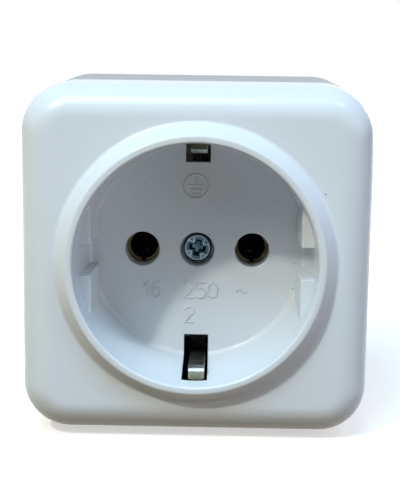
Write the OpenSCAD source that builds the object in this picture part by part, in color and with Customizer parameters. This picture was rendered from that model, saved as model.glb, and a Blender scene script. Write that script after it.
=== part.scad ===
// Surface mounted socket, two pins and side earth contacts.
// The origin is the middle of the back face. The wall is behind it, and the front faces -Y.
// Every piece is drawn with +Z as height off the wall, then turned to face -Y.

/* [Housing] */
// Width and height of the back face
back_w = 59; // [57:0.5:70]
// Depth from the wall to the front of the collar
total_h = 42; // [41:0.5:48]
// Depth of the rear box, up to the parting line
base_h = 21.5; // [19:0.5:23]
// Draft angle of the side walls, in degrees
draft = 1.75; // [0.5:0.25:2.5]
// Corner radius at the back face
corner_r = 8.8; // [7.8:0.2:12]
// Wall thickness of the cover and of the rear box
wall_t = 2; // [1.6:0.1:2.5]
// Radius that rounds the front edge of the cover
front_r = 5; // [3.5:0.25:6]
// Thickness of the back plate
back_t = 2.5; // [2:0.1:3]
// Thickness of the front plate
front_t = 2.2; // [1.8:0.1:2.6]
// Open line between the cover and the rear box
parting_gap = 0.3; // [0.1:0.05:0.5]
// Height of the lip that centres the cover on the rear box
lip_h = 1.6; // [1:0.1:2.2]
// Thickness of that lip
lip_t = 1; // [0.8:0.1:1.2]
// Clearance between the lip and the cover
lip_gap = 0.25; // [0.1:0.05:0.35]

/* [Plug well] */
// Height of the collar above the front plate
collar_h = 2.4; // [1.5:0.1:3]
// Radius of the well at its mouth
well_r = 19.5; // [19.3:0.1:19.8]
// Radius of the well at its floor
well_floor_r = 18.8; // [18.6:0.1:19.2]
// Depth of the well
well_depth = 17.5; // [17:0.1:18]
// Width of the flat ring on top of the collar
collar_flat = 1.7; // [1.4:0.1:2]
// Width of the slope round the collar
collar_slope = 1.9; // [1:0.1:2.2]
// Thickness of the well's wall
well_t = 1.6; // [1.3:0.1:1.9]
// Thickness of the well's floor
floor_t = 2.4; // [2:0.1:3]
// Distance from the middle to each side guide
guide_x = 17.1; // [16.6:0.1:17.5]
// Depth of the guides' front faces behind the collar
guide_drop = 5; // [4:0.5:7]
// Gap between the upper and lower guides
guide_gap = 5.2; // [4.4:0.2:7]

/* [Pin and screw holes] */
// Distance between the two pins
pin_pitch = 19; // [18.8:0.1:19.2]
// Radius of the pin holes
pin_hole_r = 2.95; // [2.75:0.05:3.1]
// Height of the boss behind each pin hole
pin_boss_h = 1.2; // [1:0.1:1.6]
// Thickness of the bosses' walls
boss_t = 2; // [1.5:0.1:2.1]
// Radius of the well that the cover screw's head sits in
screw_hole_r = 2.95; // [2.8:0.05:3.1]
// Depth of the screw head's top below the floor
head_drop = 1.8; // [1:0.1:2]
// Height of the screw's head
head_h = 1.9; // [1.7:0.1:2.2]
// Radius of the screw's head
head_r = 2.5; // [2.3:0.05:2.6]
// Thickness of the plastic under the screw's head
seat_t = 1.2; // [1:0.1:1.5]
// Radius of the cover screw's shank
cover_shank_r = 1.5; // [1.4:0.05:1.6]
// Clearance round the cover screw's shank in the cover
shank_gap = 0.3; // [0.2:0.05:0.4]

/* [Earth contacts] */
// Width of the earth windows
window_w = 4.25; // [4:0.05:4.6]
// Length of an earth window inside the well's wall
window_l = 4.4; // [4.1:0.1:4.9]
// Depth of the windows' front ends behind the collar
window_drop = 3.6; // [3:0.1:4.5]
// Width of the earth springs
spring_w = 2.7; // [2.4:0.05:2.8]
// Offset of the earth springs from the middle
spring_x = 0.3; // [0:0.05:0.35]
// Thickness of the earth springs
spring_t = 0.8; // [0.6:0.05:0.9]
// Distance that a spring's crown stands inside the well's wall
crown_in = 1.9; // [1.7:0.1:2.3]
// Depth of the crowns behind the collar
crown_drop = 6.3; // [6:0.1:8]
// Depth of the springs' tips behind the collar
tip_drop = 4.4; // [4.2:0.1:5]
// Outward step from the crown to the tip
tip_out = 1.7; // [1.2:0.1:1.9]
// Distance that a spring's root stands inside the well's wall
root_in = 0.1; // [0:0.05:0.5]
// Length of the spring's foot along the strap
foot_l = 5.6; // [5.2:0.1:6]

/* [Inner parts] */
// Radius of the bore in the contact sleeves
sleeve_r = 2.45; // [2.42:0.01:2.5]
// Thickness of the brass
brass_t = 0.75; // [0.6:0.05:0.8]
// Length that a plug's pin reaches below the well's floor
pin_reach = 19; // [18:0.5:19]
// Width of the slits between the sleeve's leaves
slit_w = 0.8; // [0.6:0.1:1]
// Height of the earth strap above the carrier's deck
strap_rise = 2.4; // [2:0.1:3.4]
// Thickness of the carrier's deck
deck_t = 3; // [2:0.25:4]
// Thickness of the earth strap
strap_t = 1.2; // [1:0.1:1.4]
// Width of the earth strap
strap_w = 7.6; // [7:0.1:7.8]
// Distance from the box's side to a line terminal's screw
terminal_in = 6.95; // [6.9:0.05:7.1]
// Radius of the terminal screws' shanks
terminal_r = 1.75; // [1.5:0.05:1.8]
// Travel of a clamp washer as its screw is undone
clamp_travel = 1.8; // [1.2:0.1:2]
// Clearance between a thread and its nut, at the radius
thread_gap = 0.05; // [0.03:0.01:0.08]
// Radius of the rivets' shanks
rivet_r = 1; // [0.8:0.05:1.1]

/* [Wall fixing] */
// Distance from the box's sides to a wall fixing hole
fixing_in = 10; // [9.5:0.25:11]
// Radius of the wall fixing holes
fixing_r = 2.2; // [2:0.1:2.6]
// Half width of the cable entry's break-out panel
entry_r = 8; // [6:0.5:9]
// Thickness of the break-out panels
entry_t = 0.9; // [0.7:0.1:1.2]

/* [Hidden] */
$fn = 64;
eps = 0.01;

plastic = [0.93, 0.95, 0.97];
dark = [0.16, 0.16, 0.17];
brass = [0.72, 0.6, 0.3];
steel = [0.72, 0.74, 0.76];

// Heights off the wall that the pieces share
front_h = total_h - collar_h;
floor_h = total_h - well_depth;
floor_low = floor_h - floor_t;
pin_boss_low = floor_low - pin_boss_h;
head_top = floor_h - head_drop;
seat_h = head_top - head_h;
seat_low = seat_h - seat_t;
sleeve_low = floor_h - pin_reach;
sleeve_top = pin_boss_low - 0.9;
tower_top = sleeve_top - 0.5;
// Clamp washers and the heads of their screws, which have to clear the cover when they are undone
washer_t = 1;
washer_lip = 0.45;
screw_head_r = 2.4;
screw_head_h = 2.2;
head_room = 0.4;
strap_top = floor_low - head_room - clamp_travel - screw_head_h - washer_t - 2*thread_gap;
strap_low = strap_top - strap_t;
deck_top = strap_low - strap_rise;
deck_low = deck_top - deck_t;
crown_h = total_h - crown_drop;
tip_h = total_h - tip_drop;
// Height of the thicker wall that carries the lip
lip_root_h = 2.5;

// Sizes across that the pieces share
pin_x = pin_pitch/2;
corner_c = back_w/2 - corner_r;
window_in = well_r - window_l;
crown_y = well_r - crown_in;
root_y = well_r - root_in;
terminal_x = back_w/2 - terminal_in;
fixing_xy = back_w/2 - fixing_in;
slope = tan(draft);
sleeve_out = sleeve_r + brass_t;
clip_t = 0.5;
clip_gap = 0.05;
pocket_r = sleeve_out + clip_gap + clip_t + 0.25;
tower_t = 1;
tower_r = pocket_r + tower_t;

// Foot of an earth spring: its plane, hole and the rivet that traps it
foot_gap = 0.12;
foot_low = strap_top + foot_gap;
foot_top = foot_low + spring_t;
foot_end = 1.9; // distance from the foot's end to its rivet
foot_y = root_y + spring_t - foot_l + foot_end;
rivet_hole_gap = 0.25;
rivet_head_r = 1.6;
rivet_head_h = 0.8;
rivet_lift = 0.22;

// Terminals: the screws stand on plates of brass at this height
link_w = 5;
washer_w = 2*(screw_head_r + washer_lip + 0.12);
plate_w = washer_w + 0.6;
riser_gap = 0.2;
riser_x = pin_x + pocket_r + riser_gap;
plate_top = deck_top + brass_t;
thread_hold = 1.6;
screw_reach = washer_t + brass_t + clamp_travel + thread_hold;
bush_h = 1.6;
bush_t = 0.3;
// Rivet that holds each line contact, on an ear beside its plate
rivet_tail_h = 0.7;
ear_r = 1.4*rivet_r + 0.5;
ear_y = -plate_w/2 - ear_r;
earth_x = 9;
earth_y = 13;
tab_w = 7.4;

// Lower end of the cover screw, past the threaded bush
nut_l = 5;
shank_low = strap_top - nut_l - 0.6;

// Screws that hold the carrier down, on posts of the rear box
post_x = 12.5;
post_y = -13;
post_r = 3.6;
post_h = deck_low;
screw_r = 1.5;

// Turns a piece from its drawing pose to face -Y
module facing() {
    rotate([90, 0, 0]) children();
}

// Half profile of a drafted wall with a rounded front edge: x is the distance from a corner's centre
module edge_profile(r, low, high, round_r) {
    round_c = r - high*slope + round_r*slope - round_r/cos(draft);
    polygon([
        [0, low],
        [r - low*slope, low],
        [round_c + round_r*cos(draft), high - round_r + round_r*sin(draft)],
        [round_c, high - round_r],
        [round_c, high],
        [0, high]
    ]);
    intersection() {
        translate([round_c, high - round_r]) circle(round_r);
        translate([round_c, high - round_r]) square(round_r);
    }
}

// Solid block with drafted sides, round corners and a rounded front edge
module drafted_block(inset, low, high, round_r) {
    r = corner_r - inset;
    for (turn = [0:3])
        rotate([0, 0, 90*turn]) {
            translate([corner_c, corner_c, 0])
                rotate_extrude(angle = 90) edge_profile(r, low, high, round_r);
            translate([corner_c, corner_c, 0])
                rotate([90, 0, 0])
                    linear_extrude(2*corner_c) edge_profile(r, low, high, round_r);
        }
    translate([-corner_c, -corner_c, low])
        cube([2*corner_c, 2*corner_c, high - low]);
}

// Plain drafted block, with no rounding in front
module plain_block(inset, low, high) {
    r = corner_r - inset;
    for (turn = [0:3])
        rotate([0, 0, 90*turn]) {
            translate([corner_c, corner_c, low])
                cylinder(h = high - low, r1 = r - low*slope, r2 = r - high*slope);
            translate([corner_c, corner_c, 0])
                rotate([90, 0, 0])
                    linear_extrude(2*corner_c)
                        polygon([[0, low], [r - low*slope, low], [r - high*slope, high], [0, high]]);
        }
    translate([-corner_c, -corner_c, low])
        cube([2*corner_c, 2*corner_c, high - low]);
}

// Round collar that stands on the front plate
module collar() {
    flat_r = well_r + collar_flat;
    foot_r = flat_r + collar_slope;
    round_r = 0.5;
    rotate_extrude() {
        polygon([
            [0, front_h - eps],
            [foot_r, front_h - eps],
            [foot_r - 0.35*collar_slope, front_h + 0.3*collar_h],
            [flat_r, total_h - round_r],
            [flat_r - round_r, total_h],
            [0, total_h]
        ]);
        translate([flat_r - round_r, total_h - round_r]) circle(round_r);
    }
}

// Space of the plug well, with the side guides left standing
module well_space() {
    difference() {
        rotate_extrude()
            polygon([
                [0, floor_h],
                [well_floor_r - 0.5, floor_h],
                [well_floor_r - 0.15, floor_h + 0.15],
                [well_floor_r, floor_h + 0.5],
                [well_r - 0.05, total_h - 0.4],
                [well_r + 0.35, total_h + eps],
                [0, total_h + eps]
            ]);
        for (side = [-1, 1], end = [-1, 1]) guide_block(side, end);
    }
}

// Side guide: a flat-faced block that stands from the floor along the well's wall
module guide_block(side, end) {
    guide_h = total_h - guide_drop;
    face = 0.4;
    guide_l = 12;
    translate([0, end*(guide_gap/2 + guide_l/2), 0])
        rotate([90, 0, 0])
            linear_extrude(guide_l, center = true)
                polygon([
                    [side*guide_x, floor_h - 1],
                    [side*guide_x, guide_h - face],
                    [side*(guide_x + face), guide_h],
                    [side*(well_r + 1), guide_h],
                    [side*(well_r + 1), floor_h - 1]
                ]);
}

// Earth window: through the floor and up the well's wall
module earth_window(end) {
    window_top = total_h - window_drop;
    reach = well_r + well_t + 0.8 - window_in;
    translate([0, end*(window_in + reach/2), (floor_low + window_top)/2 - 1])
        cube([window_w, reach, window_top - floor_low + 2], center = true);
}

// Thin ribs between the well and the corners of the cover
module cover_ribs() {
    rib_t = 1.2;
    rib_low = floor_low + 7;
    rib_in = well_r + well_t/2;
    rib_out = corner_c*sqrt(2) + corner_r - 3*wall_t;
    for (turn = [0:3])
        rotate([0, 0, 45 + 90*turn])
            translate([rib_in, -rib_t/2, rib_low])
                cube([rib_out - rib_in, rib_t, front_h - front_t - rib_low + eps]);
}

module front_cover() {
    low = base_h + parting_gap;
    color(plastic) facing() difference() {
        union() {
            difference() {
                drafted_block(0, low, front_h, front_r);
                drafted_block(wall_t, low - 1, front_h - front_t, front_r - wall_t/2);
            }
            collar();
            translate([0, 0, floor_low])
                cylinder(h = front_h - floor_low - eps, r1 = well_floor_r + well_t, r2 = well_r + well_t);
            for (side = [-1, 1])
                translate([side*pin_x, 0, pin_boss_low])
                    cylinder(h = pin_boss_h + eps, r = pin_hole_r + boss_t);
            translate([0, 0, seat_low])
                cylinder(h = floor_low - seat_low + eps, r = screw_hole_r + boss_t/2);
            cover_ribs();
        }
        well_space();
        for (side = [-1, 1]) {
            translate([side*pin_x, 0, pin_boss_low - 1])
                cylinder(h = floor_h - pin_boss_low + 2, r = pin_hole_r);
            earth_window(side);
        }
        translate([0, 0, seat_h]) cylinder(h = floor_h - seat_h + 1, r = screw_hole_r);
        translate([0, 0, seat_low - 1]) cylinder(h = seat_t + 2, r = cover_shank_r + shank_gap);
    }
}

// Cross recess for a screwdriver, sunk from the given height
module cross_recess(top, width, depth) {
    slot = width*0.3;
    for (turn = [0, 90])
        rotate([0, 0, turn])
            translate([-width/2, -slot/2, top - depth]) cube([width, slot, depth + 1]);
}

module cover_screw() {
    crown = 0.35;
    color(steel) facing() difference() {
        union() {
            translate([0, 0, seat_h]) cylinder(h = head_h - crown, r = head_r);
            translate([0, 0, head_top - crown]) cylinder(h = crown, r1 = head_r, r2 = head_r - crown);
            translate([0, 0, shank_low + cover_shank_r/2])
                cylinder(h = seat_h - shank_low - cover_shank_r/2 + eps, r = cover_shank_r);
            translate([0, 0, shank_low])
                cylinder(h = cover_shank_r/2 + eps, r1 = cover_shank_r/2, r2 = cover_shank_r);
        }
        cross_recess(head_top, 1.3*head_r, 1.3);
    }
}

// Round break-out groove, half way through a panel that stands at the given height
module entry_groove(r, low, depth) {
    groove = 0.8;
    translate([0, 0, low])
        difference() {
            cylinder(h = depth, r = r + groove);
            translate([0, 0, -1]) cylinder(h = depth + 2, r = r);
        }
}

module base() {
    post_bore = screw_r + thread_gap;
    color(plastic) facing() difference() {
        union() {
            difference() {
                union() {
                    plain_block(0, 0, base_h);
                    plain_block(wall_t + lip_gap, base_h - 1, base_h + lip_h);
                }
                plain_block(wall_t, back_t, base_h - lip_root_h);
                plain_block(wall_t + lip_gap + lip_t, base_h - lip_root_h - 1, base_h + lip_h + 1);
            }
            for (side = [-1, 1])
                translate([side*post_x, side*post_y, back_t - eps]) cylinder(h = post_h - back_t + eps, r = post_r);
            for (side = [-1, 1])
                translate([side*fixing_xy, -side*fixing_xy, back_t - eps]) cylinder(h = 1 + eps, r = fixing_r + 2);
        }
        for (side = [-1, 1]) {
            translate([side*fixing_xy, -side*fixing_xy, -1]) cylinder(h = back_t + 3, r = fixing_r);
            translate([side*post_x, side*post_y, back_t/2]) cylinder(h = post_h, r = post_bore);
        }
        entry_groove(entry_r*0.9, -eps, back_t - entry_t);
        top_entry();
    }
}

// Arched break-out panel in the top wall: a groove in its outer face
module top_entry() {
    groove = 0.8;
    groove_d = wall_t - entry_t;
    wall_y = back_w/2;
    arch_h = base_h*0.55;
    translate([0, wall_y + 1, arch_h])
        rotate([90, 0, 0])
            difference() {
                union() {
                    cylinder(h = groove_d + 1, r = entry_r);
                    translate([-entry_r, 0, 0]) cube([2*entry_r, base_h, groove_d + 1]);
                }
                translate([0, 0, -1]) cylinder(h = groove_d + 3, r = entry_r - groove);
                translate([groove - entry_r, 0, -1])
                    cube([2*(entry_r - groove), base_h + 1, groove_d + 3]);
            }
}

module contact_carrier() {
    bore = terminal_r + bush_t + thread_gap;
    tail_r = 1.4*rivet_r;
    plinth_x = pin_x + 3.5;
    plinth_y = 9.5;
    strap_l = foot_y + rivet_head_r + 1;
    channel_out = riser_x + brass_t + 0.3;
    color(dark) facing() difference() {
        union() {
            translate([-terminal_x - plate_w/2, ear_y - ear_r, deck_low])
                cube([2*terminal_x + plate_w, plate_w/2 + ear_r - ear_y, deck_t]);
            translate([-plinth_x, -plinth_y, back_t]) cube([2*plinth_x, 2*plinth_y, deck_top - back_t]);
            for (side = [-1, 1]) {
                translate([side*pin_x, 0, back_t]) cylinder(h = tower_top - back_t, r = tower_r);
                translate([side*post_x, side*post_y, deck_low]) cylinder(h = deck_t, r = post_r);
                translate([side*post_x - post_r, min(side*post_y, 0), deck_low])
                    cube([2*post_r, abs(post_y), deck_t]);
            }
            translate([-strap_w/2, -strap_l, deck_low]) cube([strap_w, 2*strap_l, strap_low - deck_low]);
            translate([0, earth_y - tab_w/2, deck_low])
                cube([earth_x + tab_w/2, tab_w, strap_low - deck_low]);
        }
        for (side = [-1, 1]) {
            translate([side*pin_x, 0, sleeve_low - 0.3])
                cylinder(h = tower_top, r = pocket_r);
            translate([side*(pin_x + channel_out)/2, 0, sleeve_low - 0.3 + tower_top/2])
                cube([channel_out - pin_x, link_w + 0.6, tower_top], center = true);
            translate([side*post_x, side*post_y, deck_low - 1]) cylinder(h = deck_t + 2, r = screw_r + 0.3);
            translate([side*terminal_x, 0, deck_low - 1]) cylinder(h = deck_t + 2, r = bore);
            translate([side*terminal_x, ear_y, deck_low - 1])
                cylinder(h = deck_t + 2, r = rivet_r + thread_gap);
            translate([side*terminal_x, ear_y, deck_low - 1])
                cylinder(h = rivet_tail_h + 1 + thread_gap, r = tail_r + thread_gap);
            translate([spring_x, side*foot_y, deck_low - 1])
                cylinder(h = strap_low, r = tail_r + 0.2);
        }
        translate([0, 0, shank_low - 1]) cylinder(h = strap_top - shank_low + 2, r = nut_r + thread_gap);
        translate([earth_x, earth_y, deck_low - 1]) cylinder(h = strap_low, r = bore);
    }
}

// Threaded bush in the middle of the earth strap, with a flange above it
nut_r = 2.6;
nut_flange_r = 3.5;
nut_flange_t = 1;

module cover_nut() {
    color(brass) facing() difference() {
        union() {
            translate([0, 0, strap_top]) cylinder(h = nut_flange_t, r = nut_flange_r);
            translate([0, 0, strap_top - nut_l]) cylinder(h = nut_l + eps, r = nut_r);
        }
        translate([0, 0, strap_top - nut_l - 1])
            cylinder(h = nut_l + nut_flange_t + 2, r = cover_shank_r + thread_gap);
    }
}

module earth_strap() {
    strap_l = foot_y + 1;
    color(steel) facing() translate([0, 0, strap_low]) difference() {
        union() {
            translate([-strap_w/2, -strap_l, 0]) cube([strap_w, 2*strap_l, strap_t]);
            translate([0, earth_y - tab_w/2, 0]) cube([earth_x + tab_w/2, tab_w, strap_t]);
        }
        translate([0, 0, -1]) cylinder(h = strap_t + 2, r = nut_r + thread_gap);
        for (side = [-1, 1])
            translate([spring_x, side*foot_y, -1]) cylinder(h = strap_t + 2, r = rivet_r + thread_gap);
        translate([earth_x, earth_y, -1]) cylinder(h = strap_t + 2, r = terminal_r + thread_gap);
    }
}

// Outline of a strip of even thickness along its middle line
function unit(v) = v/norm(v);
function turned(v) = [-v[1], v[0]];
function mitre(line, i) =
    let(last = len(line) - 1,
        before = unit(line[max(i, 1)] - line[max(i, 1) - 1]),
        after = unit(line[min(i + 1, last)] - line[min(i, last - 1)]))
    turned(unit(before + after))/sqrt((1 + before*after)/2);
function strip_outline(line, half) = concat(
    [for (i = [0 : len(line) - 1]) line[i] + half*mitre(line, i)],
    [for (i = [len(line) - 1 : -1 : 0]) line[i] - half*mitre(line, i)]
);

// Earth spring of the upper window: foot, bend, long lean inwards, crown and tip
module earth_spring() {
    half = spring_t/2;
    bend_r = 1.2;
    bend_c = [root_y + half - bend_r, foot_low + half + bend_r];
    line = concat(
        [[root_y + spring_t - foot_l, foot_low + half]],
        [for (a = [0:18:90]) bend_c + bend_r*[sin(a), -cos(a)]],
        [
            [crown_y + half + 0.35, crown_h - 2.2],
            [crown_y + half, crown_h - 0.6],
            [crown_y + half + 0.12, crown_h + 0.5],
            [crown_y + half + tip_out, tip_h]
        ]
    );
    difference() {
        translate([spring_x - spring_w/2, 0, 0])
            rotate([90, 0, 90])
                linear_extrude(spring_w) polygon(strip_outline(line, half));
        translate([spring_x, foot_y, foot_low - 1]) cylinder(h = spring_t + 2, r = rivet_r + rivet_hole_gap);
    }
}

module upper_earth_spring() {
    color(steel) facing() earth_spring();
}

module lower_earth_spring() {
    color(steel) facing() mirror([0, 1, 0]) earth_spring();
}

module earth_rivets() {
    tail_h = 0.8;
    color(steel) facing()
        for (side = [-1, 1])
            translate([spring_x, side*foot_y, 0]) {
                translate([0, 0, foot_top + rivet_lift]) cylinder(h = rivet_head_h, r = rivet_head_r);
                translate([0, 0, strap_low - tail_h])
                    cylinder(h = foot_top + rivet_lift - strap_low + tail_h + eps, r = rivet_r);
                translate([0, 0, strap_low - tail_h]) cylinder(h = tail_h, r = 1.4*rivet_r);
            }
}

// Split sleeve with its bent link and terminal plate, drawn for the right-hand side
module contact() {
    ring_h = 3.4;
    difference() {
        union() {
            translate([pin_x, 0, sleeve_low]) cylinder(h = sleeve_top - sleeve_low, r = sleeve_out);
            translate([pin_x, -link_w/2, sleeve_low])
                cube([riser_x - pin_x + brass_t, link_w, brass_t]);
            translate([riser_x, -link_w/2, sleeve_low])
                cube([brass_t, link_w, plate_top - sleeve_low]);
            translate([riser_x, -link_w/2, deck_top])
                cube([terminal_x - plate_w/2 - riser_x + eps, link_w, brass_t]);
            translate([terminal_x - plate_w/2, -plate_w/2, deck_top]) cube([plate_w, plate_w, brass_t]);
            translate([terminal_x, ear_y, deck_top]) cylinder(h = brass_t, r = ear_r);
            translate([terminal_x - ear_r, ear_y, deck_top]) cube([2*ear_r, ear_r + 1, brass_t]);
            translate([terminal_x, 0, deck_top - bush_h]) cylinder(h = bush_h + eps, r = terminal_r + bush_t);
        }
        translate([pin_x, 0, sleeve_low - 1]) cylinder(h = sleeve_top, r = sleeve_r);
        translate([pin_x - slit_w/2, -sleeve_out - 1, sleeve_low + ring_h])
            cube([slit_w, 2*sleeve_out + 2, sleeve_top]);
        translate([terminal_x, 0, deck_top - 3]) cylinder(h = 6, r = terminal_r + thread_gap);
        translate([terminal_x, ear_y, deck_top - 1]) cylinder(h = 3, r = rivet_r + thread_gap);
    }
}

module left_contact() {
    color(brass) facing() mirror([1, 0, 0]) contact();
}

module right_contact() {
    color(brass) facing() contact();
}

// Open spring ring that closes a sleeve's leaves on the pin
module contact_clip() {
    clip_h = 3;
    clip_top = sleeve_top - 2;
    clip_in = sleeve_out + clip_gap;
    translate([pin_x, 0, clip_top - clip_h]) difference() {
        cylinder(h = clip_h, r = clip_in + clip_t);
        translate([0, 0, -1]) cylinder(h = clip_h + 2, r = clip_in);
        translate([-clip_in - 1, -1, -1]) cube([2, 2, clip_h + 2]);
    }
}

module left_contact_clip() {
    color(steel) facing() mirror([1, 0, 0]) contact_clip();
}

module right_contact_clip() {
    color(steel) facing() contact_clip();
}

module contact_rivets() {
    color(brass) facing()
        for (side = [-1, 1])
            translate([side*terminal_x, ear_y, 0]) {
                translate([0, 0, plate_top]) cylinder(h = 0.6, r = 1.4*rivet_r);
                translate([0, 0, deck_low]) cylinder(h = plate_top - deck_low + eps, r = rivet_r);
                translate([0, 0, deck_low]) cylinder(h = rivet_tail_h, r = 1.4*rivet_r);
            }
}

// Square clamp washer with two turned-up edges, on the plate at the given height
module clamp_washer(x, y, low) {
    translate([x, y, low + thread_gap]) difference() {
        union() {
            translate([-washer_w/2, -washer_w/2, 0]) cube([washer_w, washer_w, washer_t]);
            for (side = [-1, 1])
                translate([-washer_w/2, side*(washer_w - washer_lip)/2 - washer_lip/2, 0])
                    cube([washer_w, washer_lip, washer_t + 0.5]);
        }
        translate([0, 0, -1]) cylinder(h = washer_t + 2, r = terminal_r + 0.2);
    }
}

module left_clamp_washer() {
    color(steel) facing() clamp_washer(-terminal_x, 0, plate_top);
}

module right_clamp_washer() {
    color(steel) facing() clamp_washer(terminal_x, 0, plate_top);
}

module earth_clamp_washer() {
    color(steel) facing() clamp_washer(earth_x, earth_y, strap_top);
}

// Terminal screw whose head stands on a clamp washer over the given plate
module terminal_screw(x, y, plate, reach) {
    seat = plate + washer_t + 2*thread_gap;
    crown = 0.4;
    slot_w = 0.7;
    slot_depth = 0.9;
    translate([x, y, 0]) difference() {
        union() {
            translate([0, 0, seat]) cylinder(h = screw_head_h - crown, r = screw_head_r);
            translate([0, 0, seat + screw_head_h - crown])
                cylinder(h = crown, r1 = screw_head_r, r2 = screw_head_r - crown);
            translate([0, 0, seat - reach]) cylinder(h = reach + eps, r = terminal_r);
        }
        cross_recess(seat + screw_head_h, 1.2*screw_head_r, 1.4);
        translate([0, 0, seat + screw_head_h])
            cube([2*screw_head_r + 1, slot_w, 2*slot_depth], center = true);
    }
}

module left_terminal_screw() {
    color(steel) facing() terminal_screw(-terminal_x, 0, plate_top, screw_reach);
}

module right_terminal_screw() {
    color(steel) facing() terminal_screw(terminal_x, 0, plate_top, screw_reach);
}

module earth_terminal_screw() {
    color(steel) facing() terminal_screw(earth_x, earth_y, strap_top, screw_reach);
}

module carrier_screws() {
    head = 1.8;
    color(steel) facing()
        for (side = [-1, 1])
            translate([side*post_x, side*post_y, 0]) difference() {
                union() {
                    translate([0, 0, deck_top]) cylinder(h = head, r = 2.7);
                    translate([0, 0, back_t/2 + 0.4]) cylinder(h = deck_top - back_t/2 - 0.4 + eps, r = screw_r);
                }
                cross_recess(deck_top + head, 3, 1.1);
            }
}

front_cover();
cover_screw();
base();
contact_carrier();
cover_nut();
earth_strap();
upper_earth_spring();
lower_earth_spring();
earth_rivets();
left_contact();
right_contact();
left_contact_clip();
right_contact_clip();
contact_rivets();
left_clamp_washer();
right_clamp_washer();
earth_clamp_washer();
left_terminal_screw();
right_terminal_screw();
earth_terminal_screw();
carrier_screws();
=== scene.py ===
# %% [markdown]
# # A surface mounted socket
# The socket is a white box on a wall: a rear box, and a cover with a round well for a plug. The packed
# solids come in as a fixed frame, and this script gives them their looks. The visible mouldings are
# modelled again with their round edges, and the small inner parts keep their solids and get better
# materials. Everything is in metres. The wall is the plane y = 0, and the well faces -Y.

# %% Load the frame
import math
import bmesh
import bpy
from mathutils import Matrix, Vector


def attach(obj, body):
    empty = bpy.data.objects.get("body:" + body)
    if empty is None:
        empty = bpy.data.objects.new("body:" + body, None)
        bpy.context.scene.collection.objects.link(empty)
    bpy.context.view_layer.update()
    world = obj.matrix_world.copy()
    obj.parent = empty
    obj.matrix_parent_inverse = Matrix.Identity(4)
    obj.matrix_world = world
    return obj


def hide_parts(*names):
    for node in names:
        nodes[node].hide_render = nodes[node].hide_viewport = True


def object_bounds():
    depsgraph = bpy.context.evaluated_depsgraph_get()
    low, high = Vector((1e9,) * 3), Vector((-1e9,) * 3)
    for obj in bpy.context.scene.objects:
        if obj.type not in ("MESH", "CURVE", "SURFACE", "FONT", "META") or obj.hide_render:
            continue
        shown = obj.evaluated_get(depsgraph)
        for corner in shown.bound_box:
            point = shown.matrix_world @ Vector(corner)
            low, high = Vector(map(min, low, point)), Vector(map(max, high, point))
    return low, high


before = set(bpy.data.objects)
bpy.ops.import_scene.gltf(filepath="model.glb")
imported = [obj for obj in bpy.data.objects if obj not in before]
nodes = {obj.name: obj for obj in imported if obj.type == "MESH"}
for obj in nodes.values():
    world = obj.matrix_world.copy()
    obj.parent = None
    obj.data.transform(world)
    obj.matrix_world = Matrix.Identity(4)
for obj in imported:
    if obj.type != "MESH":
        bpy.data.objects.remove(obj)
cad_low, cad_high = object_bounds()
MM = 0.001
print("nodes in the frame:", len(nodes))

# %% [markdown]
# ## Camera
# The photograph looks down on the socket by about ten degrees, from hand distance. Four values place the
# camera: its point, its turn to the side, its tilt and its roll. They were fitted to the rim, the pin holes
# and the outline, so the parts fall where the photograph has them.

# %% Camera
camera_point = Vector((3.22, -214.74, 32.55)) * MM
camera_turn = 0.0144
camera_tilt = -0.1699
camera_roll = -0.0141
bpy.ops.object.camera_add()
camera = bpy.context.object
camera.data.lens = 80.2
camera.data.sensor_width = 36
camera.data.clip_start = 10 * MM
look = (Matrix.Rotation(camera_turn, 3, "Z") @ Matrix.Rotation(camera_tilt, 3, "X")
        @ Matrix.Rotation(camera_roll, 3, "Y") @ Matrix.Rotation(math.radians(90), 3, "X"))
camera.matrix_world = Matrix.Translation(camera_point) @ look.to_4x4()
bpy.context.scene.camera = camera
bpy.context.scene.view_settings.view_transform = "Standard"
print("camera at", [round(v, 4) for v in camera.location])

# %% [markdown]
# ## Light
# Eight soft lamps stand round the socket as in a plain studio. The key, in front, above and to the left,
# throws the collar's shade across the well's floor. Two cool lamps overhead light the wide top fillet, and
# low side lamps lift the walls, and one behind lights the back. The sky itself is dim. The camera sees it as plain white instead, and so
# do reflections and clear materials, so the background never adds light to the object.

# %% Sky
def seen_rays(tree):
    """1 for rays from the camera, reflections and clear materials, and 0 for the light on a surface."""
    path = tree.nodes.new("ShaderNodeLightPath")
    first = tree.nodes.new("ShaderNodeMath")
    both = tree.nodes.new("ShaderNodeMath")
    first.operation = both.operation = "MAXIMUM"
    tree.links.new(path.outputs["Is Camera Ray"], first.inputs[0])
    tree.links.new(path.outputs["Is Glossy Ray"], first.inputs[1])
    tree.links.new(first.outputs[0], both.inputs[0])
    tree.links.new(path.outputs["Is Transmission Ray"], both.inputs[1])
    return both.outputs[0]

def plain_sky(name, colour):
    """World of one dim colour, which is plain white where it is seen."""
    world = bpy.data.worlds.new(name)
    bpy.context.scene.world = world
    world.use_nodes = True
    tree = world.node_tree
    light = tree.nodes["Background"]
    white = tree.nodes.new("ShaderNodeBackground")
    choice = tree.nodes.new("ShaderNodeMixShader")
    light.inputs["Color"].default_value = (*colour, 1)
    white.inputs["Color"].default_value = (1, 1, 1, 1)
    tree.links.new(seen_rays(tree), choice.inputs["Fac"])
    tree.links.new(light.outputs[0], choice.inputs[1])
    tree.links.new(white.outputs[0], choice.inputs[2])
    tree.links.new(choice.outputs[0], tree.nodes["World Output"].inputs["Surface"])

plain_sky("sky", (0.04, 0.04, 0.045))

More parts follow.
